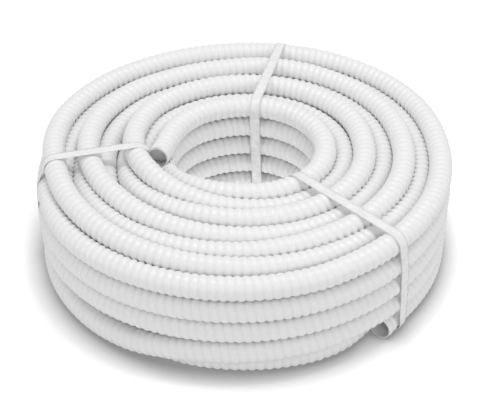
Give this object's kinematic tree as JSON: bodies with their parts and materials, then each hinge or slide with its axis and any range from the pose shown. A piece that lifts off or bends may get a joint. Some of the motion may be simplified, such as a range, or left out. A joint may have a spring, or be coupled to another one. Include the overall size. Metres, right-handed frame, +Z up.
{
  "type": "pool vacuum hose roll",
  "caption": "Long white ribbed swimming pool vacuum hose wound into a round roll and held together by clear tape straps, with both plain hose ends open.",
  "frame": {"origin": "on the floor under the middle of the roll's bounding box", "axes": "+Z up along the roll's hole, +Y to the back, away from the outer mouth"},
  "size_m": [0.8128, 0.837, 0.2286],
  "materials": {
    "hose": "satin",
    "tape": "gloss"
  },
  "bodies": {
    "root": {"hose_winding": "hose", "hose_core": "hose", "hose_outer_end": "hose", "hose_inner_end": "hose", "strap_back": "tape", "strap_left": "tape", "strap_front": "tape"}
  },
  "joints": []
}
